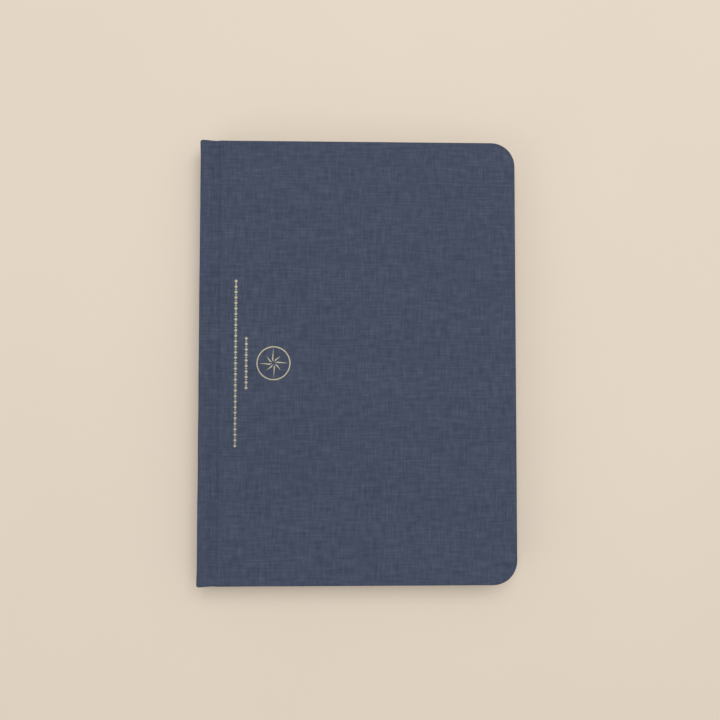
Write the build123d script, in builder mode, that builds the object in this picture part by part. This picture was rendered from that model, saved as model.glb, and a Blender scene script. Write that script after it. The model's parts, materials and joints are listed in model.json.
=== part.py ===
from build123d import *
import math
import os

# Clothbound lined journal: two boards, a hollow spine and twelve sewn sections in a cloth case.
# It lies closed on its back cover and opens flat at its middle spread.
#
# Frame: +X runs from the spine to the fore-edge, +Y to the head and +Z out of the front cover.
# The origin is on the surface under the closed book, below the middle of its outline.
# All sizes are in millimetres.

# Case
cover_width = 150.0
cover_height = 210.0
corner_radius = 11.4  # outer radius of the two fore-edge corners
cloth = 0.35
board = 2.0
turn_in = 15.0  # how far the cloth is folded over onto the inside of a board
spine_board = 1.2

# Joint between spine and boards, measured from the outer face of the spine
hinge_inset = 1.2  # outer radius of the cloth bend, centred on the hinge axis
groove_middle = 7.7
board_setback = 11.0
groove_depth = 1.2
shoulder_width = 3.0  # flat cloth beside the spine, before the groove

# Text block
section_count = 12
section_thickness = 0.75  # eight leaves
leaf_air = 0.05  # air between one section and the next
fold_radius = 0.25  # rounded back of a folded section
endpaper = 0.15
square = 3.0  # how far the boards stand out past the leaves
text_setback = 3.0  # outer face of the spine to the folds of the sections

# Spine linings
mull = 0.35
mull_reach = 25.0  # width of mull that is glued to each board
mull_margin = 5.0  # mull stops this far short of head and tail of the leaves
liner = 0.3
fold_clearance = 0.1
thread = 0.25
thread_slot = 0.9
thread_slot_depth = 0.28
stitch_stations = 6
stitch_pitch = 30.0
bead_radius = 0.65  # rolled edge of the head and tail bands
band_inset = 0.45  # bands stop this far inside the leaves at each cover
hem_start = 1.0  # hem of the joint cloth starts this far from the hinge axis

# Gold foil, pressed flush into the front cloth
foil = 0.05
emblem_radius = 8.0
emblem_ring = 0.5
emblem_centre = 35.2  # from the outer face of the spine
mark_drop = 1.0  # all marks sit this far from mid-height, towards the tail
ray_count = 8
long_ray = 7.1
short_ray = 4.7
ray_waist = 2.0
ray_start = 0.7
long_rule_centre = 17.4
long_rule_count = 31
short_rule_centre = 22.4
short_rule_count = 10
rule_pitch = 2.58
lozenge_radius = 0.85
dash_length = 0.45
dash_width = 0.9

# Derived levels, as depths below an outer face of the closed book
lining = max(cloth, mull)
inside_board = cloth + board
inside_lining = inside_board + lining
inside_pastedown = inside_lining + endpaper
first_section = inside_pastedown + endpaper
text_thickness = section_count * section_thickness
thickness = 2 * first_section + text_thickness

# Derived places
half_height = cover_height / 2
spine_face = -cover_width / 2
fore_edge = cover_width / 2
hinge_x = spine_face + hinge_inset
shoulder = spine_face + shoulder_width
board_edge = spine_face + board_setback
folds = spine_face + text_setback
leaf_edge = fore_edge - square
leaf_half_height = half_height - square
leaf_radius = corner_radius - square
lining_face = folds - fold_clearance
liner_face = lining_face - mull
turn_in_edge = fore_edge - turn_in
turn_in_half_height = half_height - turn_in
mull_edge = board_edge + mull_reach
mull_half_height = leaf_half_height - mull_margin
emblem_x = spine_face + emblem_centre

front = Plane(origin=(0, 0, thickness), x_dir=(1, 0, 0), z_dir=(0, 0, 1))
back = Plane(origin=(0, 0, 0), x_dir=(1, 0, 0), z_dir=(0, 0, -1))

os.makedirs("parts", exist_ok=True)


def keep(piece, label):
    """Label a finished piece and write it to its own file."""
    piece.part.label = label
    export_step(piece.part, f"parts/{label}.step")


def cross_section(face):
    """Plane of the book's cross-section, with X to the fore-edge and Y out of a cover."""
    return Plane(origin=face.origin, x_dir=(1, 0, 0), z_dir=(0, -face.z_dir.Z, 0))


def sheet(face, depth, thick, x_low, x_high, half_length, radius=0.0):
    """Flat sheet below an outer face, with round corners on its fore-edge side."""
    with BuildPart() as flat:
        with BuildSketch(face.offset(-depth)) as outline:
            with Locations(((x_low + x_high) / 2, 0)):
                Rectangle(x_high - x_low, 2 * half_length)
            if radius > 0:
                fillet(outline.vertices().group_by(Axis.X)[-1], radius)
        extrude(amount=-thick)
    return flat


def groove_curve(x_low, drop):
    """Smooth line from the hinge over the shoulder and through the groove to the board."""
    bottom = spine_face + groove_middle
    floor = -drop - groove_depth
    fall = (bottom - shoulder) / 2
    rise = (board_edge - bottom) / 2
    Line((x_low, -drop), (shoulder, -drop))
    Bezier((shoulder, -drop), (shoulder + fall, -drop), (bottom - fall, floor), (bottom, floor))
    Bezier((bottom, floor), (bottom + rise, floor), (board_edge - rise, -drop), (board_edge, -drop))


def joint_band(plane, x_low, drop):
    """Strip of cloth over the joint, from the hinge side to the edge of the board."""
    with BuildSketch(plane, mode=Mode.PRIVATE) as band:
        with BuildLine():
            groove_curve(x_low, drop)
            groove_curve(x_low, drop + cloth)
            Line((x_low, -drop), (x_low, -drop - cloth))
            Line((board_edge, -drop), (board_edge, -drop - cloth))
        make_face()
    return band.sketch


def cover_cloth(face, pressed=()):
    """Cloth of one cover: skin, edges, turn-ins and the strip over the joint."""
    with BuildPart() as cover:
        add(sheet(face, 0, inside_board + cloth, board_edge, fore_edge, half_height, corner_radius).part)
        add(
            sheet(face, cloth, board, board_edge, fore_edge - cloth, half_height - cloth,
                  corner_radius - cloth).part,
            mode=Mode.SUBTRACT,
        )
        add(
            sheet(face, inside_board, cloth, board_edge, turn_in_edge, turn_in_half_height).part,
            mode=Mode.SUBTRACT,
        )
        plane = cross_section(face)
        extrude(joint_band(plane, hinge_x, 0), amount=half_height, both=True)
        for end in (-1, 1):
            hem = joint_band(plane.offset(end * turn_in_half_height), hinge_x + hem_start, cloth)
            extrude(hem, amount=end * turn_in)
        for mark in pressed:
            extrude(mark, amount=-foil, mode=Mode.SUBTRACT)
    return cover


def pastedown_sheet(face):
    """Endpaper half glued to a board: it drops over the turn-ins and the mull."""
    with BuildPart() as paper:
        add(sheet(face, inside_lining, endpaper, folds, leaf_edge, leaf_half_height, leaf_radius).part)
        add(
            sheet(face, inside_board, lining + endpaper, mull_edge, turn_in_edge, turn_in_half_height).part
        )
        add(
            sheet(face, inside_board + endpaper, lining, mull_edge + endpaper, turn_in_edge - endpaper,
                  turn_in_half_height - endpaper).part,
            mode=Mode.SUBTRACT,
        )
    return paper


def joint_bend(face):
    """Quarter-round of cloth about a hinge axis, between spine cloth and cover cloth."""
    with BuildPart() as bend:
        with BuildSketch(cross_section(face)) as ring:
            with Locations((hinge_x, -hinge_inset)):
                Circle(hinge_inset)
                Circle(hinge_inset - cloth, mode=Mode.SUBTRACT)
            with Locations((hinge_x, -hinge_inset)):
                Rectangle(hinge_inset, hinge_inset, align=(Align.MAX, Align.MIN), mode=Mode.INTERSECT)
        extrude(amount=half_height, both=True)
    return bend


def spine_band(end):
    """Head or tail band: a rolled bead past the leaves on a skirt glued to the spine."""
    length = text_thickness - 2 * band_inset
    bead_y = leaf_half_height + fold_clearance + bead_radius
    skirt_low = mull_half_height + fold_clearance
    with BuildPart() as band:
        with BuildSketch(Plane.XY.offset((thickness - length) / 2)):
            with Locations((liner_face + bead_radius, end * bead_y)):
                Circle(bead_radius)
            with Locations((liner_face + mull / 2, end * (skirt_low + bead_y) / 2)):
                Rectangle(mull, bead_y - skirt_low)
        extrude(amount=length)
    return band


def emblem_point(radius, angle):
    """Point of the emblem at a radius from its centre and an angle in degrees."""
    turn = math.radians(angle)
    return (emblem_x + radius * math.cos(turn), radius * math.sin(turn) - mark_drop)


def foil_rule(centre, count):
    """Row of lozenges with a dash between each two, along the spine."""
    with BuildSketch(front) as rule:
        with Locations((spine_face + centre, -mark_drop)):
            with GridLocations(0, rule_pitch, 1, count):
                RegularPolygon(lozenge_radius, 4)
            with GridLocations(0, rule_pitch, 1, count - 1):
                Rectangle(dash_width, dash_length)
    return rule.sketch


def foil_piece(mark):
    """Foil that fills a pressed mark."""
    with BuildPart() as leaf:
        extrude(mark, amount=-foil)
    return leaf


# Marks on the front cover: a compass star in a ring, whose rays are each half filled
with BuildSketch(front) as emblem:
    with Locations((emblem_x, -mark_drop)):
        Circle(emblem_radius)
        Circle(emblem_radius - emblem_ring, mode=Mode.SUBTRACT)
    for ray in range(ray_count):
        turn = 360 / ray_count
        with BuildLine():
            Polyline(
                emblem_point(ray_start, turn * (ray + 0.25)),
                emblem_point(short_ray if ray % 2 else long_ray, turn * ray),
                emblem_point(ray_waist, turn * (ray + 0.5)),
                close=True,
            )
        make_face()

long_rule = foil_rule(long_rule_centre, long_rule_count)
short_rule = foil_rule(short_rule_centre, short_rule_count)
marks = (emblem.sketch, long_rule, short_rule)

# Covers
for name, face, pressed in (("front", front, marks), ("back", back, ())):
    keep(
        sheet(face, cloth, board, board_edge, fore_edge - cloth, half_height - cloth, corner_radius - cloth),
        f"{name}_board",
    )
    keep(cover_cloth(face, pressed), f"{name}_cover_cloth")
    keep(pastedown_sheet(face), f"{name}_pastedown")
    keep(
        sheet(face, inside_pastedown, endpaper, folds, leaf_edge, leaf_half_height, leaf_radius),
        f"{name}_flyleaf",
    )
    # The flap of mull and its glue are made up level with the turn-ins.
    keep(sheet(face, inside_board, lining, folds, mull_edge, turn_in_half_height), f"{name}_mull_flap")
    keep(joint_bend(face), f"{name}_joint_cloth")

keep(foil_piece(marks[0]), "foil_emblem")
keep(foil_piece(marks[1]), "foil_long_rule")
keep(foil_piece(marks[2]), "foil_short_rule")

# Sections, counted from the front
for number in range(section_count):
    depth = first_section + number * section_thickness
    leaves = sheet(
        front, depth + leaf_air / 2, section_thickness - leaf_air, folds, leaf_edge, leaf_half_height,
        leaf_radius,
    )
    with BuildPart() as section:
        add(leaves.part)
        fillet(section.edges().filter_by(Axis.Y).group_by(Axis.X)[0], fold_radius)
    keep(section, f"section_{number + 1:02d}")

# Spine
cloth_length = thickness - 2 * (hinge_inset + leaf_air)
board_length = cloth_length - 2 * leaf_air
with BuildPart() as spine_cloth:
    with BuildSketch(Plane.XY.offset((thickness - cloth_length) / 2)):
        with Locations((spine_face, 0)):
            Rectangle(cloth, cover_height, align=(Align.MIN, Align.CENTER))
        for end in (-1, 1):
            with Locations((spine_face, end * (half_height - cloth / 2))):
                Rectangle(2 * cloth + spine_board, cloth, align=(Align.MIN, Align.CENTER))
            with Locations((spine_face + cloth + spine_board, end * (half_height - turn_in / 2))):
                Rectangle(cloth, turn_in, align=(Align.MIN, Align.CENTER))
    extrude(amount=cloth_length)
keep(spine_cloth, "spine_cloth")

with BuildPart() as spine_strip:
    with BuildSketch(Plane.XY.offset((thickness - board_length) / 2)):
        with Locations((spine_face + cloth, 0)):
            Rectangle(spine_board, 2 * (half_height - cloth), align=(Align.MIN, Align.CENTER))
    extrude(amount=board_length)
keep(spine_strip, "spine_board")

with BuildPart() as spine_liner:
    with BuildSketch(Plane.XY.offset(first_section)):
        with Locations((liner_face, 0)):
            Rectangle(liner, 2 * leaf_half_height, align=(Align.MAX, Align.CENTER))
    extrude(amount=text_thickness)
keep(spine_liner, "spine_liner")

with BuildPart() as spine_mull:
    with BuildSketch(Plane.XY.offset(first_section)):
        with Locations((liner_face, 0)):
            Rectangle(mull, 2 * mull_half_height, align=(Align.MIN, Align.CENTER))
        with Locations((lining_face, 0)):
            with GridLocations(0, stitch_pitch, 1, stitch_stations):
                Rectangle(2 * thread_slot_depth, thread_slot, mode=Mode.SUBTRACT)
    extrude(amount=text_thickness)
keep(spine_mull, "spine_mull")

with BuildPart() as sewing_thread:
    with BuildSketch(Plane.XY.offset(first_section + section_thickness / 2)):
        with Locations((lining_face - thread / 2, 0)):
            with GridLocations(0, stitch_pitch, 1, stitch_stations):
                Circle(thread / 2)
    extrude(amount=text_thickness - section_thickness)
keep(sewing_thread, "sewing_thread")

keep(spine_band(1), "head_band")
keep(spine_band(-1), "tail_band")
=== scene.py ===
import json
import math

import bmesh
import bpy
import numpy as np
from bpy.props import FloatProperty, FloatVectorProperty, IntProperty, PointerProperty
from mathutils import Matrix, Vector, noise


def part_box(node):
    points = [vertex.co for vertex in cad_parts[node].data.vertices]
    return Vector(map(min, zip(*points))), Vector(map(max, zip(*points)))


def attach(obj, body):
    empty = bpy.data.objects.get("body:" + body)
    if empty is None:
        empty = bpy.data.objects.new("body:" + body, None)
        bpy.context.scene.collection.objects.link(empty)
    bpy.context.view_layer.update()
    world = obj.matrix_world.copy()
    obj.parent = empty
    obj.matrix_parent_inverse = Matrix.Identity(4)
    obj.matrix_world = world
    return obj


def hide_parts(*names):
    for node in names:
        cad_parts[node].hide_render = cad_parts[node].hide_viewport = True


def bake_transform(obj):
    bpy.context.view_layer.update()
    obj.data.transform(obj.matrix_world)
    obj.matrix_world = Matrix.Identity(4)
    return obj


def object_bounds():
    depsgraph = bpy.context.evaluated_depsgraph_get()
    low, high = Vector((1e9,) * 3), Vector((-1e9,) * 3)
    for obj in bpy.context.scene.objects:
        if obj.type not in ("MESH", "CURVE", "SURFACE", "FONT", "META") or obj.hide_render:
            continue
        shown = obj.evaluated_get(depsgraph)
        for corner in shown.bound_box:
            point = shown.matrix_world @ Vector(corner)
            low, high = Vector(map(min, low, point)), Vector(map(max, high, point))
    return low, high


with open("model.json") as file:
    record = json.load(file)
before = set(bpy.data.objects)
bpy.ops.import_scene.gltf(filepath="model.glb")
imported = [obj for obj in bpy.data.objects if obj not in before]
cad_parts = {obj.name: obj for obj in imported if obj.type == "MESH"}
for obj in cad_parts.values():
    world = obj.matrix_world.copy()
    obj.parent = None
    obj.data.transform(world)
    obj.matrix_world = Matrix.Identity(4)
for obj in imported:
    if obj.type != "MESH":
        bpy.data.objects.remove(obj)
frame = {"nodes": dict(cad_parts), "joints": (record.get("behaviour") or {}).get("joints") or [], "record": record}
CAD_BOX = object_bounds()

bl_info = {
    "name": "Clothbound Journal",
    "version": (1, 0, 0),
    "blender": (4, 5, 0),
    "location": "3D View > Sidebar > Journal",
    "description": "Cloth case, sewn leaves, endpapers, bands and foil of a clothbound journal",
    "category": "Add Mesh",
}

MM = 0.001
SHARP_ANGLE = math.radians(40)  # edges that turn further than this stay sharp
SLOPE = 0.2 * MM  # half the width of a step on the inside of a cover
END_REACH = 9 * MM  # stretch at head and tail where the spine flares and the grooves fade

# Places read from the frame, in metres
SPINE, FORE_EDGE = CAD_BOX[0].x, CAD_BOX[1].x
HALF_HEIGHT, TOP = CAD_BOX[1].y, CAD_BOX[1].z
HINGES = {joint["name"]: Vector(joint["pos_m"]) for joint in frame["joints"]}
HINGE_X = HINGES["front_cover_hinge"].x
BEND = HINGES["spine_hinge"].z
BOARD_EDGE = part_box("front_board")[0].x
BOARD_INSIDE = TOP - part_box("front_board")[0].z
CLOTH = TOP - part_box("front_board")[1].z
TURN_IN_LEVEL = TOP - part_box("front_mull_flap")[0].z
MULL_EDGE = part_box("front_mull_flap")[1].x
TURN_IN_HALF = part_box("front_mull_flap")[1].y
TURN_IN = HALF_HEIGHT - TURN_IN_HALF
TURN_IN_EDGE = FORE_EDGE - TURN_IN
FOLDS, LEAF_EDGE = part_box("section_01")[0].x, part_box("section_01")[1].x
LEAF_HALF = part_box("section_01")[1].y
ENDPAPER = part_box("front_flyleaf")[1].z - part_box("front_flyleaf")[0].z
SPINE_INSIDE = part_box("spine_cloth")[1].x
SPINE_BOARD_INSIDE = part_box("spine_board")[1].x
EMBLEM_LOW, EMBLEM_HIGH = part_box("foil_emblem")


# Settings

class CaseSettings(bpy.types.PropertyGroup):
    """Cloth case of the journal."""
    cloth_colour: FloatVectorProperty(
        name="Cloth", description="Colour of the book cloth between its light and dark threads",
        default=(0.0462, 0.0590, 0.0975), min=0, max=1, size=3, subtype="COLOR")
    slub_colour: FloatVectorProperty(
        name="Slubs", description="Colour of the lightest threads",
        default=(0.100, 0.119, 0.166), min=0, max=1, size=3, subtype="COLOR")
    shade_colour: FloatVectorProperty(
        name="Shade", description="Colour of the darkest threads",
        default=(0.022, 0.0285, 0.053), min=0, max=1, size=3, subtype="COLOR")
    thread_pitch: FloatProperty(
        name="Thread pitch", description="Distance between two threads of the cloth",
        default=0.42 * MM, unit="LENGTH", precision=5)
    corner_radius: FloatProperty(
        name="Corner radius", description="Outer radius of the two fore-edge corners",
        default=11.4 * MM, unit="LENGTH", precision=4)
    edge_radius: FloatProperty(
        name="Edge radius", description="Rounding of the cloth over the edges of a board",
        default=0.55 * MM, unit="LENGTH", precision=5)
    hem_radius: FloatProperty(
        name="Hem radius", description="Rounding of the folded cloth at the ends of the joints",
        default=0.33 * MM, unit="LENGTH", precision=5)
    shoulder: FloatProperty(
        name="Shoulder", description="Flat cloth beside the spine before the groove begins",
        default=3.0 * MM, unit="LENGTH", precision=4)
    groove_middle: FloatProperty(
        name="Groove place", description="Outer face of the spine to the bottom of the groove",
        default=7.7 * MM, unit="LENGTH", precision=4)
    groove_depth: FloatProperty(
        name="Groove depth", description="Depth of the groove below the cover's face",
        default=1.2 * MM, unit="LENGTH", precision=4)
    flare: FloatProperty(
        name="Flare", description="How far the spine's cloth flares out at head and tail",
        default=0.2 * MM, unit="LENGTH", precision=5)


class LeafSettings(bpy.types.PropertyGroup):
    """Leaves and endpapers of the journal."""
    paper_colour: FloatVectorProperty(
        name="Paper", description="Colour of the writing paper",
        default=(0.80, 0.755, 0.655), min=0, max=1, size=3, subtype="COLOR")
    rule_colour: FloatVectorProperty(
        name="Rules", description="Colour of the printed rules",
        default=(0.36, 0.38, 0.42), min=0, max=1, size=3, subtype="COLOR")
    endpaper_colour: FloatVectorProperty(
        name="Endpaper", description="Colour of the endpapers",
        default=(0.74, 0.69, 0.585), min=0, max=1, size=3, subtype="COLOR")
    rule_pitch: FloatProperty(
        name="Rule pitch", description="Distance between two printed rules",
        default=7.1 * MM, unit="LENGTH", precision=4)
    rule_width: FloatProperty(
        name="Rule width", description="Width of a printed rule",
        default=0.22 * MM, unit="LENGTH", precision=5)
    head_margin: FloatProperty(
        name="Head margin", description="Blank paper above the first rule",
        default=20 * MM, unit="LENGTH", precision=4)
    tail_margin: FloatProperty(
        name="Tail margin", description="Blank paper below the last rule",
        default=10 * MM, unit="LENGTH", precision=4)
    sheets: IntProperty(
        name="Sheets", description="Folded sheets in each section, each of two leaves", default=4, min=1)
    corner_radius: FloatProperty(
        name="Corner radius", description="Radius of the round corners of the leaves",
        default=8.4 * MM, unit="LENGTH", precision=4)
    swell: FloatProperty(
        name="Gutter", description="Width of the leaves beside the folds that bends when the book opens",
        default=11 * MM, unit="LENGTH", precision=4)


class FoilSettings(bpy.types.PropertyGroup):
    """Foil marks on the front cover."""
    colour: FloatVectorProperty(
        name="Foil", description="Colour of the stamped foil",
        default=(0.377, 0.350, 0.246), min=0, max=1, size=3, subtype="COLOR")
    ring_width: FloatProperty(
        name="Ring", description="Width of the ring round the compass star",
        default=0.55 * MM, unit="LENGTH", precision=5)
    long_ray: FloatProperty(
        name="Long ray", description="Length of the four long rays",
        default=7.1 * MM, unit="LENGTH", precision=4)
    short_ray: FloatProperty(
        name="Short ray", description="Length of the four short rays",
        default=4.7 * MM, unit="LENGTH", precision=4)
    waist: FloatProperty(
        name="Waist", description="Radius at which two rays meet",
        default=2.0 * MM, unit="LENGTH", precision=4)
    pitch: FloatProperty(
        name="Pitch", description="Distance between two lozenges of a rule",
        default=2.58 * MM, unit="LENGTH", precision=5)
    lozenge: FloatProperty(
        name="Lozenge", description="Half the length of a lozenge",
        default=0.85 * MM, unit="LENGTH", precision=5)
    stand: FloatProperty(
        name="Stand", description="Height of the foil above the cloth round it",
        default=0.015 * MM, unit="LENGTH", precision=6)


class StageSettings(bpy.types.PropertyGroup):
    """Floor, lights and camera."""
    floor_colour: FloatVectorProperty(
        name="Floor", description="Colour of the paper floor",
        default=(0.697, 0.609, 0.512), min=0, max=1, size=3, subtype="COLOR")
    key_power: FloatProperty(name="Key", description="Power of the overhead light", default=13.0, unit="POWER")
    fill_power: FloatProperty(name="Fill", description="Power of the side light", default=2.6, unit="POWER")
    sky: FloatProperty(name="Sky", description="Strength of the even light from all round", default=0.52)
    view_angle: FloatProperty(
        name="View angle", description="Width of the camera's view",
        default=math.radians(50), unit="ROTATION", subtype="ANGLE")
    distance: FloatProperty(
        name="Distance", description="Camera to the middle of the cover",
        default=0.3642, unit="LENGTH", precision=4)


# Materials: noise scales are in cycles per metre

class Wire:
    """A socket of a material's nodes. Arithmetic on it adds Math nodes."""

    def __init__(self, finish, socket):
        self.finish = finish
        self.socket = socket

    def math(self, operation, *values, clamp=False):
        """A Math node on this socket and the other values."""
        sockets = dict(enumerate((self, *values)))
        return self.finish.add("ShaderNodeMath", {"operation": operation, "use_clamp": clamp}, sockets)

    def __add__(self, other):
        return self.math("ADD", other)

    __radd__ = __add__

    def __mul__(self, other):
        return self.math("MULTIPLY", other)

    __rmul__ = __mul__

    def __sub__(self, other):
        return self.math("SUBTRACT", other)

    def __rsub__(self, other):
        return (self * -1) + other

    def __truediv__(self, other):
        return self.math("DIVIDE", other)

    def __abs__(self):
        return self.math("ABSOLUTE")

    def clamp(self):
        """The value held between 0 and 1."""
        return self.math("ADD", 0.0, clamp=True)


class Finish:
    """A material with one Principled BSDF, built up by code."""

    def __init__(self, name, **constants):
        self.material = bpy.data.materials.new(name)
        self.material.use_nodes = True
        self.tree = self.material.node_tree
        self.shader = self.tree.nodes["Principled BSDF"]
        for label, value in constants.items():
            self.shader.inputs[label.replace("_", " ")].default_value = value

    def add(self, kind, settings=None, sockets=None, out=0):
        """Any node: its type, its settings, then the values or links of its sockets."""
        node = self.tree.nodes.new(kind)
        for key, value in (settings or {}).items():
            if key == "stops":
                self.set_stops(node.color_ramp, value)
            else:
                setattr(node, key, value)
        for key, value in (sockets or {}).items():
            if isinstance(value, Wire):
                self.tree.links.new(value.socket, node.inputs[key])
            else:
                node.inputs[key].default_value = value
        return Wire(self, node.outputs[out])

    @staticmethod
    def set_stops(ramp, stops):
        """Colour stops of a ramp, as (place, colour) pairs."""
        while len(ramp.elements) < len(stops):
            ramp.elements.new(1.0)
        for element, (place, colour) in zip(ramp.elements, stops):
            element.position = place
            element.color = (*colour, 1)

    def uv(self):
        """The two UV values of the piece, in metres."""
        place = self.add("ShaderNodeUVMap", {"uv_map": "cloth"})
        node = self.add("ShaderNodeSeparateXYZ", sockets={0: place}).socket.node
        return Wire(self, node.outputs[0]), Wire(self, node.outputs[1])

    def noise(self, x, y, detail=2.0, z=0.0):
        """Noise at a place given by two scaled values."""
        place = self.add("ShaderNodeCombineXYZ", sockets={0: x, 1: y, 2: z})
        return self.add("ShaderNodeTexNoise", sockets={"Vector": place, "Scale": 1.0, "Detail": detail})

    def mix(self, factor, first, second):
        """Colour between two colours."""
        sockets = {0: factor, 6: first, 7: second}
        return self.add("ShaderNodeMix", {"data_type": "RGBA"}, sockets, out=2)

    def blend_values(self, factor, first, second):
        """Value between two values."""
        return first + (second - first) * factor

    def ramp(self, factor, stops):
        """Colour from a ramp."""
        return self.add("ShaderNodeValToRGB", {"stops": stops}, {0: factor})

    def feed(self, label, wire):
        """Links a value or colour to one of the shader's sockets."""
        self.tree.links.new(wire.socket, self.shader.inputs[label])

    def bump(self, height, distance, strength=1.0):
        """Relief from a height."""
        sockets = {"Strength": strength, "Distance": distance, "Height": height}
        self.feed("Normal", self.add("ShaderNodeBump", sockets=sockets))


def tinted(colour, share):
    """A darker or lighter share of a colour."""
    return tuple(min(1.0, share * part) for part in colour)


def weave(finish, pitch):
    """Plain weave on the piece's UVs in metres: (height, over, u, v), with over 1 on warp threads."""
    u, v = finish.uv()
    drift = finish.noise(u * 90, v * 90) * (1.2 * pitch)
    across = ((u + drift) * (math.pi / pitch)).math("SINE")
    along = ((v + drift) * (math.pi / pitch)).math("SINE")
    over = (across * along * 2.2 + 0.5).clamp()
    height = finish.blend_values(over, abs(along), abs(across))
    return height, over, u, v


def book_cloth(settings):
    """Fine linen book cloth with light and dark slubs, and painted shade in the hollows of its weave."""
    finish = Finish("navy_book_cloth", Roughness=0.86, Sheen_Weight=0.06, Sheen_Roughness=0.45,
                    Specular_IOR_Level=0.22)
    finish.shader.inputs["Sheen Tint"].default_value = (0.55, 0.62, 0.78, 1)
    pitch = settings.thread_pitch
    height, over, u, v = weave(finish, pitch)
    warp_slub = finish.noise(u * (0.6 / pitch), v * (0.045 / pitch), 3.0)
    weft_slub = finish.noise(u * (0.04 / pitch), v * (0.55 / pitch), 3.0, z=7.0)
    thread = finish.blend_values(over, weft_slub, warp_slub)
    cloud = finish.noise(u * 15, v * 45, 3.0)
    nap = finish.noise(u * 300, v * 300, 3.0)
    # The relief share darkens the low parts of the weave: painted shade in the hollows between the threads.
    slubs, relief, clouds, fuzz, middle = 0.9, 0.22, 0.12, 0.28, 0.46
    tone = ((thread - 0.5) * slubs + (height - 0.6) * relief + (cloud - 0.5) * clouds
            + (nap - 0.5) * fuzz + middle)
    colour = finish.ramp(tone, (
        (0.12, settings.shade_colour),
        (0.46, settings.cloth_colour),
        (0.86, settings.slub_colour),
    ))
    lint = finish.noise(u * 900, v * 900, 1.0)
    fleck = ((lint - 0.70) * 9.0).clamp() * 0.35
    finish.feed("Base Color", finish.mix(fleck, colour, (*settings.slub_colour, 1)))
    finish.feed("Roughness", (0.78 + thread * 0.16).clamp())
    finish.bump(height * 0.7 + thread * 0.6, 0.10 * MM, 0.55)


def stamped_foil(settings, pitch):
    """Pale gold foil that has sunk into the weave, painted darker over the deepest threads as painted shade in the
    weave's hollows.
    """
    finish = Finish("pale_gold_foil", Metallic=0.85, Roughness=0.38)
    height, _, u, v = weave(finish, pitch)
    wear = finish.noise(u * 1500, v * 1500, 3.0)
    # The darker end of the ramp serves both the random wear and painted shade: the height share darkens the foil
    # over the low threads.
    dull_and_shaded = tinted(settings.colour, 0.62)
    tone = (wear * 0.9 + height * 0.35 - 0.25).clamp()
    finish.feed("Base Color", finish.ramp(tone, ((0.15, dull_and_shaded), (0.75, settings.colour))))
    finish.feed("Roughness", (0.30 + wear * 0.30).clamp())
    finish.bump(height * 0.5 + wear * 0.4, 0.06 * MM, 0.6)


def paper_fibre(finish, u, v, colour, depth=0.05 * MM):
    """Paper colour with faint fibres and clouds; also sets the relief."""
    cloud = finish.noise(u * 60, v * 60, 3.0)
    fibre = finish.noise(u * 2600, v * 1400, 3.0)
    dark, light = tinted(colour, 0.94), tinted(colour, 1.03)
    finish.bump(fibre, depth, 0.25)
    return finish.ramp(cloud * 0.25 + fibre * 0.75, ((0.3, dark), (0.7, light)))


def ruled_paper(settings):
    """Writing paper with printed rules across the page."""
    finish = Finish("ruled_writing_paper", Roughness=0.78, Specular_IOR_Level=0.3)
    u, v = finish.uv()
    paper = paper_fibre(finish, u, v, settings.paper_colour)
    first_rule = LEAF_HALF - settings.head_margin
    steps = (first_rule - v) / settings.rule_pitch
    off_line = abs((steps + 0.5).math("FRACT") - 0.5) * settings.rule_pitch
    line = ((0.5 * settings.rule_width - off_line) / (0.25 * settings.rule_width) + 0.5).clamp()
    below_head = steps.math("GREATER_THAN", -0.5)
    above_tail = v.math("GREATER_THAN", settings.tail_margin - LEAF_HALF)
    ink = finish.noise(u * 700, v * 700, 2.0) * 0.5 + 0.5
    mask = line * below_head * above_tail * ink
    finish.feed("Base Color", finish.mix(mask, paper, (*settings.rule_colour, 1)))


def leaf_edges(settings):
    """Cut edges of the leaves: paper with faint streaks of shade from leaf to leaf."""
    finish = Finish("leaf_edges", Roughness=0.88, Specular_IOR_Level=0.2)
    place = finish.add("ShaderNodeTexCoord", out=3)
    streak = finish.add("ShaderNodeTexNoise", sockets={"Vector": place, "Scale": 900.0, "Detail": 2.0})
    dark = tinted(settings.paper_colour, 0.80)
    finish.feed("Base Color", finish.ramp(streak, ((0.3, dark), (0.65, settings.paper_colour))))
    finish.bump(streak, 0.05 * MM, 0.3)


def endpaper_stock(settings):
    """Heavier uncoated paper with a laid grain."""
    finish = Finish("endpaper_stock", Roughness=0.82, Specular_IOR_Level=0.25)
    u, v = finish.uv()
    finish.feed("Base Color", paper_fibre(finish, u, v, settings.endpaper_colour, 0.08 * MM))


def solid_finish(name, dark, light, scale, stretch, **constants):
    """Finish of an inner piece, with grain in the piece's own space."""
    finish = Finish(name, **constants)
    place = finish.add("ShaderNodeMapping", sockets={
        "Vector": finish.add("ShaderNodeTexCoord", out=3), "Scale": stretch})
    grain = finish.add("ShaderNodeTexNoise", sockets={"Vector": place, "Scale": scale, "Detail": 4.0})
    finish.feed("Base Color", finish.ramp(grain, ((0.3, dark), (0.7, light))))
    finish.bump(grain, 0.1 * MM, 0.5)


def banded_thread(settings):
    """Silk of the head and tail bands: stripes of the cloth's colour and cream."""
    finish = Finish("striped_silk", Roughness=0.55, Sheen_Weight=0.3)
    u, v = finish.uv()
    stripe_width, strand_width, slant = 1.1 * MM, 0.18 * MM, 9000
    stripe = ((v * (math.pi / stripe_width)).math("SINE") * 6 + 0.5).clamp()
    strands = (v * (math.tau / strand_width) + u * slant).math("SINE")
    cream, dark = (0.70, 0.64, 0.50, 1), (*settings.cloth_colour, 1)
    finish.feed("Base Color", finish.mix(stripe, cream, dark))
    finish.bump(strands, 0.03 * MM, 0.6)


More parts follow.
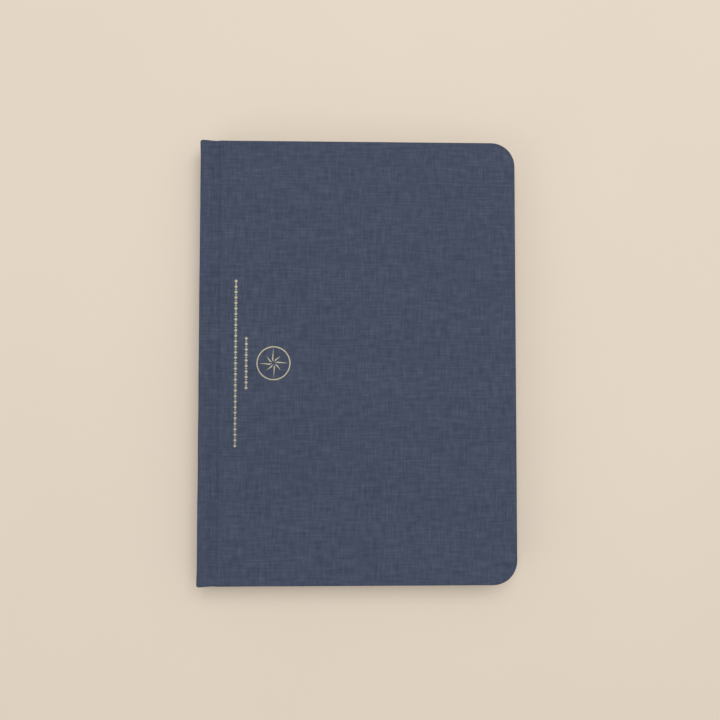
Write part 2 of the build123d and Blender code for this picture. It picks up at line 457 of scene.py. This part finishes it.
def floor_paper(settings):
    """Seamless paper floor with the faintest grain."""
    finish = Finish("paper_floor", Roughness=0.95, Specular_IOR_Level=0.1)
    place = finish.add("ShaderNodeTexCoord", out=3)
    grain = finish.add("ShaderNodeTexNoise", sockets={"Vector": place, "Scale": 9.0, "Detail": 2.0})
    dark = tinted(settings.floor_colour, 0.985)
    finish.feed("Base Color", finish.ramp(grain, ((0.3, dark), (0.7, settings.floor_colour))))
    return finish.material


# Mesh building

class Shell:
    """Points and faces of a piece, with a UV for each corner of each face."""

    def __init__(self):
        self.points = []
        self.faces = []
        self.uvs = []
        self.slots = []

    def point(self, place):
        """Adds a point and returns its number."""
        self.points.append(tuple(place))
        return len(self.points) - 1

    def face(self, corners, uvs, slot=0):
        """Adds a face."""
        self.faces.append(tuple(corners))
        self.uvs.append(tuple(uvs))
        self.slots.append(slot)

    def quads(self, numbers, uvs, slot=0):
        """Faces between the rows of a grid of point numbers."""
        for i in range(len(numbers) - 1):
            for j in range(len(numbers[0]) - 1):
                ring = ((i, j), (i, j + 1), (i + 1, j + 1), (i + 1, j))
                self.face([numbers[a][b] for a, b in ring], [uvs[a][b] for a, b in ring], slot)

    def prism(self, outline, low, high):
        """Solid between two heights over an outline of (x, y) points; its UV is its place."""
        tops = [self.point((x, y, high)) for x, y in outline]
        feet = [self.point((x, y, low)) for x, y in outline]
        self.face(tops, outline)
        self.face(feet[::-1], outline[::-1])
        for i in range(len(outline)):
            j = (i + 1) % len(outline)
            uv = (outline[i], outline[j], outline[j], outline[i])
            self.face((tops[i], feet[i], feet[j], tops[j])[::-1], uv[::-1])

    def make(self, name, materials):
        """The finished object."""
        mesh = bpy.data.meshes.new(name)
        mesh.from_pydata(self.points, [], self.faces)
        layer = mesh.uv_layers.new(name="cloth")
        layer.data.foreach_set("uv", np.array([uv for face in self.uvs for uv in face], np.float32).ravel())
        mesh.polygons.foreach_set("material_index", self.slots)
        for material in materials:
            mesh.materials.append(material)
        tool = bmesh.new()
        tool.from_mesh(mesh)
        bmesh.ops.recalc_face_normals(tool, faces=tool.faces)
        tool.to_mesh(mesh)
        tool.free()
        mesh.shade_smooth()
        mesh.set_sharp_from_angle(angle=SHARP_ANGLE)
        piece = bpy.data.objects.new(name, mesh)
        bpy.context.scene.collection.objects.link(piece)
        return piece


def smooth(low, high, value):
    """0 below low, 1 above high and a smooth rise between."""
    t = min(1.0, max(0.0, (value - low) / (high - low)))
    return t * t * (3 - 2 * t)


def spread(low, high, count):
    """Evenly spaced values from low to high."""
    return [float(value) for value in np.linspace(low, high, count)]


def bezier(a, b, c, d, count):
    """Points of a cubic curve after its first one."""
    found = []
    for t in spread(0, 1, count + 1)[1:]:
        s = 1 - t
        found.append(tuple(
            s ** 3 * a[k] + 3 * s * s * t * b[k] + 3 * s * t * t * c[k] + t ** 3 * d[k] for k in (0, 1)))
    return found


class WrappedBoard:
    """Cloth round a slab: a face, rounded edges and an inside, all one closed skin."""

    def __init__(self, rows, columns):
        self.shell = Shell()
        self.face_grid = [[None] * columns for _ in range(rows)]
        self.inside_grid = [[None] * columns for _ in range(rows)]
        self.uv = [[None] * columns for _ in range(rows)]
        self.place = {}
        self.thick = {}

    def set_point(self, i, j, place, out, thick, uv):
        """A point of the face, its outward normal and the thickness below it."""
        place, out = Vector(place), Vector(out)
        self.face_grid[i][j] = self.shell.point(place)
        self.inside_grid[i][j] = self.shell.point(place - out * thick)
        self.uv[i][j] = uv
        self.place[i, j] = (place, out)
        self.thick[i, j] = thick

    def wrap(self, path):
        """Rounded edge along a path of (row, column, outward direction, radius, thickness)."""
        quarter = [math.radians(angle) for angle in (22.5, 45, 67.5, 90)]
        rings, ring_uvs = [], []
        for i, j, away, radius, thick in path:
            place, out = self.place[i, j]
            u, v = self.uv[i][j]
            side = Vector((away[0], away[1], 0))
            upper = [(radius * math.sin(a), radius * (1 - math.cos(a))) for a in quarter]
            lower = [(x, thick - y) for x, y in reversed(upper)]
            spots = [(0.0, 0.0), *upper, *lower, (0.0, thick)]
            middle = [self.shell.point(place + side * x - out * y) for x, y in spots[1:-1]]
            lengths = np.cumsum([0.0] + [math.dist(a, b) for a, b in zip(spots, spots[1:])])
            rings.append([self.face_grid[i][j], *middle, self.inside_grid[i][j]])
            ring_uvs.append([(u + away[0] * length, v + away[1] * length) for length in lengths])
        self.shell.quads(rings, ring_uvs)
        for end in (0, -1):
            self.shell.face(rings[end], ring_uvs[end])

    def close(self, columns):
        """Face, inside and the plain ends at the given columns."""
        self.shell.quads(self.face_grid, self.uv)
        self.shell.quads(self.inside_grid, self.uv)
        for j in columns:
            pairs = [[face[j], inside[j]] for face, inside in zip(self.face_grid, self.inside_grid)]
            self.shell.quads(pairs, [[uv[j], uv[j]] for uv in self.uv])


SPINE_FADE = (SPINE + 1 * MM, SPINE + 5 * MM)  # where the spine's own shaping dies away
CORNER_CUT = 0.4 * MM  # how far the spine's corners are rounded back
CORNER_BAND = (HALF_HEIGHT - 1.2 * MM, HALF_HEIGHT + 0.2 * MM)  # where that rounding grows
SPINE_RIPPLE = 0.08 * MM


def flare(place, amount):
    """Moves a point of the case where the spine's cloth flares and rounds off at head and tail."""
    x, y, z = place
    near_spine = 1 - smooth(*SPINE_FADE, x)
    shift = amount * smooth(HALF_HEIGHT - END_REACH, HALF_HEIGHT, abs(y))
    corner = CORNER_CUT * smooth(*CORNER_BAND, abs(y)) ** 2
    ripple = SPINE_RIPPLE * noise.noise((x * 300, y * 60, z * 300))
    return (x + (corner - shift - ripple) * near_spine, y + math.copysign(shift * near_spine, y), z)


# Pieces of the case

def cover_rows(case):
    """Rows of a cover from tail to head: (y, where the row ends, outward direction there)."""
    inner = case.corner_radius - case.edge_radius
    centre_x = FORE_EDGE - case.corner_radius
    centre_y = HALF_HEIGHT - case.corner_radius
    levels = [TURN_IN_HALF - SLOPE, TURN_IN_HALF + SLOPE]
    straight = sorted({*spread(-centre_y, centre_y, 45), *levels, *[-y for y in levels]})
    corner = [math.radians(angle) for angle in spread(0, 90, 11)]
    tail = [(-centre_y - inner * math.sin(a), centre_x + inner * math.cos(a), (math.cos(a), -math.sin(a)))
            for a in reversed(corner[1:])]
    middle = [(y, centre_x + inner, (1.0, 0.0)) for y in straight]
    head = [(-y, reach, (out[0], -out[1])) for y, reach, out in reversed(tail)]
    return tail + middle + head


def joint_profile(case):
    """Cloth over a joint from hinge to board: (x, height, normal x, normal height, u)."""
    bend = [(HINGE_X + BEND * math.cos(a), BEND * math.sin(a) - BEND)
            for a in (math.radians(angle) for angle in spread(180, 90, 9))]
    shoulder = SPINE + case.shoulder
    bottom, floor = SPINE + case.groove_middle, -case.groove_depth
    fall, rise = (bottom - shoulder) / 2, (BOARD_EDGE - bottom) / 2
    flat = [(x, 0.0) for x in spread(HINGE_X, shoulder, 4)[1:]]
    down = bezier((shoulder, 0), (shoulder + fall, 0), (bottom - fall, floor), (bottom, floor), 9)
    up = bezier((bottom, floor), (bottom + rise, floor), (BOARD_EDGE - rise, 0), (BOARD_EDGE, 0), 8)
    line = bend + flat + down + up
    lengths = np.cumsum([0.0] + [math.dist(a, b) for a, b in zip(line, line[1:])])
    found = []
    for k, (x, height) in enumerate(line):
        before, after = line[max(k - 1, 0)], line[min(k + 1, len(line) - 1)]
        run, climb = after[0] - before[0], after[1] - before[1]
        size = math.hypot(run, climb)
        out = (-1.0, 0.0) if k == 0 else (-climb / size, run / size)
        found.append((x, height, *out, BOARD_EDGE - lengths[-1] + lengths[k]))
    return found


def board_columns(case):
    """Columns of a cover over its board, as shares of the way to the fore-edge."""
    first, end = BOARD_EDGE + 0.05 * MM, FORE_EDGE - case.edge_radius
    places = spread(first, end, 30)
    places += [MULL_EDGE - SLOPE, MULL_EDGE + SLOPE, TURN_IN_EDGE - SLOPE, TURN_IN_EDGE + SLOPE]
    near_edge = (0.7, 1.5, 3.0, 6.0, 7.5)  # millimetres in from the fore-edge
    places += [end - back * MM for back in near_edge]
    return [(x - BOARD_EDGE) / (end - BOARD_EDGE) for x in sorted(places)]


EDGE_BAND = 7.5 * MM  # how far in from its free edges a cover's face falls away
EDGE_FALL = 0.13 * MM
EDGE_RIPPLE = 0.05  # unevenness of that fall, in millimetres
GROOVE_FADE = 0.4  # share of a groove's depth that is lost at head and tail


def cover_height(x, y):
    """Height of a cover's face: it falls away a little towards its three free edges."""
    inset = min(FORE_EDGE - x, HALF_HEIGHT - abs(y))
    near_edge = 1 - smooth(0, EDGE_BAND, inset)
    ripple = noise.noise((x * 40, y * 40, 0.5)) * EDGE_RIPPLE * MM
    return -(EDGE_FALL + ripple) * near_edge


def hem_scale(case):
    """Share of its height at which the hem of a joint or the spine begins."""
    return (HALF_HEIGHT - case.hem_radius) / (HALF_HEIGHT - case.edge_radius)


def case_piece(skin, case, name):
    """The finished object of a wrapped skin, with the spine's flare."""
    skin.shell.points = [flare(place, case.flare) for place in skin.shell.points]
    return skin.shell.make(name, [bpy.data.materials["navy_book_cloth"]])


def cover_cloth(case, name, side):
    """Cloth of one cover and its joint. Side is 1 for the front cover and -1 for the back."""
    rows = cover_rows(case)
    strip = joint_profile(case)
    shares = board_columns(case)
    end_of_strip = len(strip) - 1
    skin = WrappedBoard(len(rows), len(strip) + len(shares))
    base = TOP if side > 0 else 0.0
    scale = hem_scale(case)
    for i, (y, reach, _) in enumerate(rows):
        turned_in = abs(y) > TURN_IN_HALF
        fade = 1 - GROOVE_FADE * smooth(HALF_HEIGHT - END_REACH, HALF_HEIGHT, abs(y))
        for j, (x, height, out_x, out_height, u) in enumerate(strip):
            fall = cover_height(x, y) * smooth(SPINE + case.shoulder, BOARD_EDGE, x)
            depth = height * fade + fall if x > HINGE_X else height
            place = Vector((x, y * scale, base + side * depth))
            out = Vector((out_x, 0, side * out_height))
            thick = 2 * CLOTH if turned_in else CLOTH
            if j == end_of_strip:
                place.y = y
                if turned_in:
                    wall = Vector((CLOTH, 0, side * (TURN_IN_LEVEL + depth)))
                    out, thick = wall.normalized(), wall.length
            skin.set_point(i, j, place, out, thick, (u, place.y))
        for j, share in enumerate(shares, len(strip)):
            x = BOARD_EDGE + share * (reach - BOARD_EDGE)
            height = cover_height(x, y)
            bare = MULL_EDGE < x < TURN_IN_EDGE and not turned_in
            level = BOARD_INSIDE if bare else TURN_IN_LEVEL
            skin.set_point(i, j, (x, y, base + side * height), (0, 0, side), level + height, (x, y))
    last_row, last_column = len(rows) - 1, len(strip) + len(shares) - 1

    def stop(i, j, away):
        if j < end_of_strip:
            return i, j, away, case.hem_radius, 2 * CLOTH
        return i, j, away, case.edge_radius, skin.thick[i, j]

    path = [stop(last_row, j, (0.0, 1.0)) for j in range(last_column)]
    path += [stop(i, last_column, rows[i][2]) for i in range(last_row, -1, -1)]
    path += [stop(0, j, (0.0, -1.0)) for j in range(last_column - 1, -1, -1)]
    skin.wrap(path)
    skin.close([0])
    return case_piece(skin, case, name)


def spine_cloth(case):
    """Cloth of the spine, turned in over the spine board at head and tail."""
    scale = hem_scale(case)
    ys = [y * scale for y, _, _ in cover_rows(case)]
    low, high = HINGES["spine_hinge"].z, HINGES["front_cover_hinge"].z
    levels = spread(low, high, 13)
    start = joint_profile(case)[0][4]
    skin = WrappedBoard(len(ys), len(levels))
    for i, y in enumerate(ys):
        turned_in = abs(y) > TURN_IN_HALF
        thick = (SPINE_INSIDE if turned_in else SPINE_BOARD_INSIDE - 0.05 * MM) - SPINE
        for j, z in enumerate(levels):
            skin.set_point(i, j, (SPINE, y, z), (-1, 0, 0), thick, (start - (high - z), y))
    for i, away in ((0, (0.0, -1.0)), (len(ys) - 1, (0.0, 1.0))):
        thick = SPINE_INSIDE - SPINE
        skin.wrap([(i, j, away, case.hem_radius, thick) for j in range(len(levels))])
    skin.close([0, len(levels) - 1])
    return case_piece(skin, case, "spine_case_cloth")


# Leaves

def leaf_half(x, radius):
    """Half height of a leaf with round fore-edge corners."""
    past = max(0.0, x - (LEAF_EDGE - radius))
    return LEAF_HALF - radius + math.sqrt(max(0.0, radius * radius - past * past))


def leaf_stations(leaves, extra=()):
    """Places along a leaf from its fore-edge to the gutter."""
    radius = leaves.corner_radius
    corner = [LEAF_EDGE - radius + radius * math.cos(math.radians(a)) for a in spread(0, 90, 9)]
    body = spread(FOLDS + leaves.swell, LEAF_EDGE - radius, 6)[1:-1]
    gutter = spread(FOLDS + 0.05 * leaves.swell, FOLDS + leaves.swell, 21)
    return sorted({*corner, *body, *gutter, *extra}, reverse=True)


def add_folded_sheet(shell, leaves, path, thick, rows, relief=None, trim=0.0):
    """A folded sheet along a path of (x, z), closed all round. Slot 1 is its cut edge."""
    faces, backs, uvs = [], [], []
    for k, (x, z) in enumerate(path):
        before, after = path[max(k - 1, 0)], path[min(k + 1, len(path) - 1)]
        run, climb = after[0] - before[0], after[1] - before[1]
        size = math.hypot(run, climb)
        side = Vector((-climb / size, 0, run / size)) * (thick / 2)
        half = leaf_half(x, leaves.corner_radius) + trim
        face, back, uv = [], [], []
        for row in rows:
            y = row * half
            lift = relief(k, x, y) if relief else 0.0
            place = Vector((x, y, z + lift))
            face.append(shell.point(place + side))
            back.append(shell.point(place - side))
            uv.append((x, y))
        faces.append(face)
        backs.append(back)
        uvs.append(uv)
    shell.quads(faces, uvs)
    shell.quads(backs, uvs)
    for row in (0, -1):
        pairs = [[face[row], back[row]] for face, back in zip(faces, backs)]
        shell.quads(pairs, [[uv[row], uv[row]] for uv in uvs], 1)
    for end in (0, -1):
        pairs = [[face, back] for face, back in zip(faces[end], backs[end])]
        shell.quads(pairs, [[uv, uv] for uv in uvs[end]], 1)


PAPER_SHARE = 0.84  # paper's share of the room that each leaf has
CREEP = (-0.05, 0.02)  # how unevenly the fore-edges lie, in millimetres
TRIM = (-0.06, 0.02)  # how unevenly head and tail are cut, in millimetres


def section_leaves(leaves, number, draw):
    """One sewn section: nested folded sheets between the section's faces in the frame."""
    low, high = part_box(f"section_{number:02d}")
    pitch = (high.z - low.z) / (2 * leaves.sheets)
    middle = (low.z + high.z) / 2
    thick = PAPER_SHARE * pitch
    fold_x = FOLDS + (high.z - low.z) / 2
    stations = [x for x in leaf_stations(leaves) if x > fold_x + 0.1 * MM]
    shell = Shell()
    for sheet in range(leaves.sheets):
        offset = (leaves.sheets - sheet - 0.5) * pitch
        creep = draw.uniform(*CREEP) * MM
        ends = [stations[0] + creep, *stations[1:]]
        turn = [math.radians(angle) for angle in spread(90, 270, 7)]
        path = [(x, middle + offset) for x in ends]
        path += [(fold_x + offset * math.cos(a), middle + offset * math.sin(a)) for a in turn]
        path += [(x, middle - offset) for x in reversed(ends)]
        add_folded_sheet(shell, leaves, path, thick, spread(-1, 1, 5), trim=draw.uniform(*TRIM) * MM)
    materials = [bpy.data.materials["ruled_writing_paper"], bpy.data.materials["leaf_edges"]]
    return shell.make(f"leaves_{number:02d}", materials)


def endpaper(leaves, name, side):
    """Pastedown and flyleaf, one folded sheet that drops over the turn-ins and the mull."""
    base = TOP if side > 0 else 0.0
    past = TURN_IN_LEVEL + ENDPAPER / 2
    slope = 2 * MM
    near, far = 0.1 * slope, 1.1 * slope
    edges = [MULL_EDGE + near, MULL_EDGE + far, TURN_IN_EDGE - far, TURN_IN_EDGE - near]
    levels = [x for a, b in (edges[:2], edges[2:]) for x in spread(a, b, 5)]
    stations = leaf_stations(leaves, levels)
    fold = [math.radians(angle) for angle in spread(90, 270, 5)]
    depths = [(x, past) for x in stations]
    depths += [(FOLDS + ENDPAPER / 2 * (1 + math.cos(a)), past + ENDPAPER / 2 * (1 - math.sin(a))) for a in fold]
    depths += [(x, past + ENDPAPER) for x in reversed(stations)]
    path = [(x, base - side * depth) for x, depth in depths]

    def sink(k, x, y):
        if k >= len(stations):
            return 0.0
        along = smooth(edges[0], edges[1], x) * (1 - smooth(edges[2], edges[3], x))
        across = 1 - smooth(TURN_IN_HALF - far, TURN_IN_HALF - near, abs(y))
        return side * (TURN_IN_LEVEL - BOARD_INSIDE) * along * across

    # Shares of the half height, close together where the turn-in ends
    half_rows = [1.0, 0.96, 0.92, 0.882, 0.877, 0.872, 0.867, 0.862, 0.8, 0.6, 0.4, 0.2]
    rows = [-row for row in half_rows] + [0.0] + half_rows[::-1]
    shell = Shell()
    add_folded_sheet(shell, leaves, path, 0.9 * ENDPAPER, rows, relief=sink)
    materials = [bpy.data.materials["endpaper_stock"], bpy.data.materials["leaf_edges"]]
    return shell.make(name, materials)


TURN_OF_SILK = 0.36 * MM
VALLEY = 0.10  # depth between two turns of silk, as a share of the radius
BAND_TAPER = 0.25  # how much thinner a band is at its two ends
BAND_TAPER_REACH = 0.5 * MM
SKIRT = 0.3 * MM  # thickness of the skirt that is glued to the spine


def spine_band(name, end):
    """Head or tail band: silk wound over a core, on a skirt glued to the spine."""
    low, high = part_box(name)
    radius = 0.5 * (high.x - low.x)
    centre_x = high.x - radius
    centre_y = (high.y if end > 0 else low.y) - end * radius
    shell = Shell()
    levels = spread(low.z, high.z, 91)
    around = spread(0, math.tau, 17)
    rings, uvs = [], []
    for z in levels:
        wound = 1 - VALLEY * abs(math.cos(math.pi * z / TURN_OF_SILK))
        taper = 1 - BAND_TAPER * (1 - smooth(0, BAND_TAPER_REACH, min(z - low.z, high.z - z)))
        size = radius * wound * taper
        ring = [shell.point((centre_x + size * math.cos(a), centre_y + size * math.sin(a), z))
                for a in around[:-1]]
        rings.append([*ring, ring[0]])
        uvs.append([(a * radius, z) for a in around])
    shell.quads(rings, uvs)
    for ring, uv in ((rings[0], uvs[0]), (rings[-1], uvs[-1])):
        shell.face(ring[:-1], uv[:-1])
    skirt = sorted((low.y if end > 0 else high.y, centre_y))
    corners = [(low.x, skirt[0]), (low.x + SKIRT, skirt[0]), (low.x + SKIRT, skirt[1]), (low.x, skirt[1])]
    shell.prism(corners, low.z, high.z)
    return shell.make(f"{name}_silk", [bpy.data.materials["striped_silk"]])


# Foil

HUB = 0.7 * MM  # radius at which a ray's filled half begins
DASH_WIDE, DASH_TALL = 0.45 * MM, 0.225 * MM  # half the size of a dash


def foil_heights(foil):
    """Underside and top of the foil."""
    return TOP - 0.05 * MM, TOP + foil.stand


def compass_star(foil):
    """Ring and compass star whose rays are each half filled."""
    centre = (EMBLEM_LOW + EMBLEM_HIGH) / 2
    outer = (EMBLEM_HIGH.x - EMBLEM_LOW.x) / 2
    low, high = foil_heights(foil)

    def spot(radius, angle):
        turn = math.radians(angle)
        return (centre.x + radius * math.cos(turn), centre.y + radius * math.sin(turn))

    shell = Shell()
    inner = outer - foil.ring_width
    rows, places = [], []
    for angle in spread(0, 360, 97)[:-1]:
        flat = [spot(radius, angle) for radius in (outer, inner, inner, outer)]
        row = [shell.point((*place, height)) for place, height in zip(flat, (high, high, low, low))]
        rows.append(row + row[:1])
        places.append(flat + flat[:1])
    shell.quads(rows + rows[:1], places + places[:1])
    for ray in range(8):
        length = foil.short_ray if ray % 2 else foil.long_ray
        angle = 45 * ray
        outline = [spot(HUB, angle + 11.25), spot(length, angle), spot(foil.waist, angle + 22.5)]
        shell.prism(outline, low, high)
    return shell.make("compass_star", [bpy.data.materials["pale_gold_foil"]])


def foil_rule(foil, node, name):
    """Row of lozenges with a dash between each two."""
    first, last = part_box(node)
    low, high = foil_heights(foil)
    x = (first.x + last.x) / 2
    size = foil.lozenge
    count = round((last.y - first.y - 2 * size) / foil.pitch) + 1
    shell = Shell()
    for number in range(count):
        y = first.y + size + number * foil.pitch
        shell.prism([(x + size, y), (x, y + size), (x - size, y), (x, y - size)], low, high)
        if number < count - 1:
            left, right = x - DASH_WIDE, x + DASH_WIDE
            bottom, top = y + foil.pitch / 2 - DASH_TALL, y + foil.pitch / 2 + DASH_TALL
            shell.prism([(right, bottom), (right, top), (left, top), (left, bottom)], low, high)
    return shell.make(name, [bpy.data.materials["pale_gold_foil"]])


# Operators

# Inner pieces: name, dark colour, light colour, scale of the grain, its stretch, roughness
INNER_FINISHES = (
    ("binders_board", (0.17, 0.16, 0.145), (0.27, 0.26, 0.235), 700.0, (1, 1, 1), 0.9),
    ("kraft_liner", (0.25, 0.155, 0.08), (0.36, 0.24, 0.13), 500.0, (1, 4, 1), 0.85),
    ("open_mull", (0.48, 0.45, 0.37), (0.72, 0.68, 0.57), 1400.0, (1, 1, 2), 0.9),
    ("waxed_thread", (0.55, 0.50, 0.40), (0.80, 0.76, 0.66), 2500.0, (1, 1, 6), 0.6),
)

# Stage, in metres and radians
FLOOR_REACH = 6.0
OVERHEAD_LIGHT = {"place": (0.16, 0.42, 1.3), "size": 1.1}
SIDE_LIGHT = {"place": (-1.1, -0.7, 0.8), "size": 0.9}
SKY_COLOUR = (1.0, 0.985, 0.96, 1)
CAMERA_TIP, CAMERA_LEAN, CAMERA_ROLL = (math.radians(angle) for angle in (-2.35, 1.53, -0.13))
CAMERA_SHIFT = (-0.9 * MM, -0.6 * MM)


class JOURNAL_OT_finishes(bpy.types.Operator):
    """Make the materials of all pieces"""
    bl_idname = "journal.finishes"
    bl_label = "Materials"

    def execute(self, context):
        case, leaves = context.scene.journal_case, context.scene.journal_leaves
        book_cloth(case)
        stamped_foil(context.scene.journal_foil, case.thread_pitch)
        ruled_paper(leaves)
        leaf_edges(leaves)
        endpaper_stock(leaves)
        banded_thread(case)
        for name, dark, light, scale, stretch, roughness in INNER_FINISHES:
            solid_finish(name, dark, light, scale, stretch, Roughness=roughness)
        return {"FINISHED"}


class JOURNAL_OT_covers(bpy.types.Operator):
    """Wrap both covers and their joints in cloth"""
    bl_idname = "journal.covers"
    bl_label = "Cover cloth"

    def execute(self, context):
        case = context.scene.journal_case
        for end, side, hinge in (("front", 1, "front_cover_hinge"), ("back", -1, "spine_hinge")):
            piece = cover_cloth(case, f"{end}_case_cloth", side)
            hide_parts(f"{end}_cover_cloth", f"{end}_joint_cloth")
            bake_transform(piece)
        return {"FINISHED"}


class JOURNAL_OT_spine(bpy.types.Operator):
    """Wrap the spine board in cloth"""
    bl_idname = "journal.spine"
    bl_label = "Spine cloth"

    def execute(self, context):
        piece = spine_cloth(context.scene.journal_case)
        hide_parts("spine_cloth")
        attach(piece, "spine")
        return {"FINISHED"}


class JOURNAL_OT_endpapers(bpy.types.Operator):
    """Fold the two endpapers"""
    bl_idname = "journal.endpapers"
    bl_label = "Endpapers"

    def execute(self, context):
        leaves = context.scene.journal_leaves
        for end, side in (("front", 1), ("back", -1)):
            piece = endpaper(leaves, f"{end}_endpaper", side)
            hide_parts(f"{end}_pastedown", f"{end}_flyleaf")
            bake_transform(piece)
        return {"FINISHED"}


class JOURNAL_OT_sections(bpy.types.Operator):
    """Fold and gather the leaves of every section"""
    bl_idname = "journal.sections"
    bl_label = "Leaves"

    def execute(self, context):
        leaves = context.scene.journal_leaves
        draw = np.random.default_rng(12)
        for body, members in frame["record"]["behaviour"]["bodies"].items():
            for node in sorted(name for name in members if name.startswith("section_")):
                piece = section_leaves(leaves, int(node[-2:]), draw)
                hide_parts(node)
                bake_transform(piece)
        return {"FINISHED"}


class JOURNAL_OT_bands(bpy.types.Operator):
    """Wind the head and tail bands"""
    bl_idname = "journal.bands"
    bl_label = "Head and tail bands"

    def execute(self, context):
        for name, end in (("head_band", 1), ("tail_band", -1)):
            piece = spine_band(name, end)
            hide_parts(name)
            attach(piece, "spine")
        return {"FINISHED"}


class JOURNAL_OT_foil(bpy.types.Operator):
    """Stamp the foil marks on the front cover"""
    bl_idname = "journal.foil"
    bl_label = "Foil marks"

    def execute(self, context):
        foil = context.scene.journal_foil
        marks = {
            "foil_emblem": compass_star(foil),
            "foil_long_rule": foil_rule(foil, "foil_long_rule", "long_rule"),
            "foil_short_rule": foil_rule(foil, "foil_short_rule", "short_rule"),
        }
        for node, piece in marks.items():
            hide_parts(node)
            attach(piece, "front_cover")
        return {"FINISHED"}


class JOURNAL_OT_inner_pieces(bpy.types.Operator):
    """Give the boards, spine linings and thread their materials"""
    bl_idname = "journal.inner_pieces"
    bl_label = "Boards and linings"

    def execute(self, context):
        finishes = {
            "binders_board": ("front_board", "back_board", "spine_board"),
            "kraft_liner": ("spine_liner",),
            "open_mull": ("spine_mull", "front_mull_flap", "back_mull_flap"),
            "waxed_thread": ("sewing_thread",),
        }
        for material, nodes in finishes.items():
            for node in nodes:
                mesh = frame["nodes"][node].data
                mesh.materials.clear()
                mesh.materials.append(bpy.data.materials[material])
        return {"FINISHED"}


class JOURNAL_OT_stage(bpy.types.Operator):
    """Lay the floor and set the lights and the camera"""
    bl_idname = "journal.stage"
    bl_label = "Floor, lights and camera"

    def execute(self, context):
        stage = context.scene.journal_stage
        shell = Shell()
        corners = [(x * FLOOR_REACH, y * FLOOR_REACH) for x, y in ((-1, -1), (1, -1), (1, 1), (-1, 1))]
        shell.face([shell.point((x, y, 0)) for x, y in corners], corners)
        floor = shell.make("paper_floor", [floor_paper(stage)])
        self.light("overhead_light", power=stage.key_power, **OVERHEAD_LIGHT)
        self.light("side_light", power=stage.fill_power, **SIDE_LIGHT)
        world = bpy.data.worlds.new("studio")
        world.use_nodes = True
        background = world.node_tree.nodes["Background"]
        background.inputs["Color"].default_value = SKY_COLOUR
        background.inputs["Strength"].default_value = stage.sky
        context.scene.world = world
        context.scene.view_settings.view_transform = "Standard"
        self.camera(context.scene, stage)
        return {"FINISHED"}

    @staticmethod
    def light(name, place, size, power):
        """Square light that faces the journal."""
        data = bpy.data.lights.new(name, "AREA")
        data.energy = power
        data.size = size
        lamp = bpy.data.objects.new(name, data)
        lamp.location = place
        lamp.rotation_euler = (-Vector(place)).to_track_quat("-Z", "Y").to_euler()
        bpy.context.scene.collection.objects.link(lamp)

    @staticmethod
    def camera(scene, stage):
        """Camera almost straight above the cover, tipped a little and off the middle."""
        data = bpy.data.cameras.new("overhead_camera")
        data.angle = stage.view_angle
        data.clip_start = 10 * MM
        camera = bpy.data.objects.new("overhead_camera", data)
        tip = Matrix.Rotation(CAMERA_TIP, 4, "X")
        lean = Matrix.Rotation(CAMERA_LEAN, 4, "Y")
        roll = Matrix.Rotation(CAMERA_ROLL, 4, "Z")
        shift = Matrix.Translation((*CAMERA_SHIFT, -stage.distance))
        cover = Matrix.Translation((0, 0, TOP))
        camera.matrix_world = cover @ (shift @ roll @ lean @ tip).inverted()
        scene.collection.objects.link(camera)
        scene.camera = camera


class JOURNAL_PT_panel(bpy.types.Panel):
    """Sizes, colours and pieces of the journal"""
    bl_idname = "JOURNAL_PT_panel"
    bl_label = "Clothbound Journal"
    bl_space_type = "VIEW_3D"
    bl_region_type = "UI"
    bl_category = "Journal"

    def draw(self, context):
        for name in GROUPS:
            box = self.layout.box()
            settings = getattr(context.scene, name)
            for label in settings.__annotations__:
                box.prop(settings, label)
        for operator in OPERATORS:
            self.layout.operator(operator.bl_idname)


GROUPS = {
    "journal_case": CaseSettings,
    "journal_leaves": LeafSettings,
    "journal_foil": FoilSettings,
    "journal_stage": StageSettings,
}
OPERATORS = (
    JOURNAL_OT_stage,
    JOURNAL_OT_finishes,
    JOURNAL_OT_covers,
    JOURNAL_OT_spine,
    JOURNAL_OT_endpapers,
    JOURNAL_OT_sections,
    JOURNAL_OT_bands,
    JOURNAL_OT_foil,
    JOURNAL_OT_inner_pieces,
)


def register():
    """Adds the settings, operators and panel."""
    for group in GROUPS.values():
        bpy.utils.register_class(group)
    for operator in OPERATORS:
        bpy.utils.register_class(operator)
    bpy.utils.register_class(JOURNAL_PT_panel)
    for name, group in GROUPS.items():
        setattr(bpy.types.Scene, name, PointerProperty(type=group))


def unregister():
    """Takes the settings, operators and panel away."""
    for name in GROUPS:
        delattr(bpy.types.Scene, name)
    bpy.utils.unregister_class(JOURNAL_PT_panel)
    for group in (*OPERATORS, *GROUPS.values()):
        bpy.utils.unregister_class(group)


def main():
    """Makes the whole journal."""
    register()
    for operator in OPERATORS:
        group, name = operator.bl_idname.split(".")
        getattr(getattr(bpy.ops, group), name)()


if __name__ == "__main__":
    main()
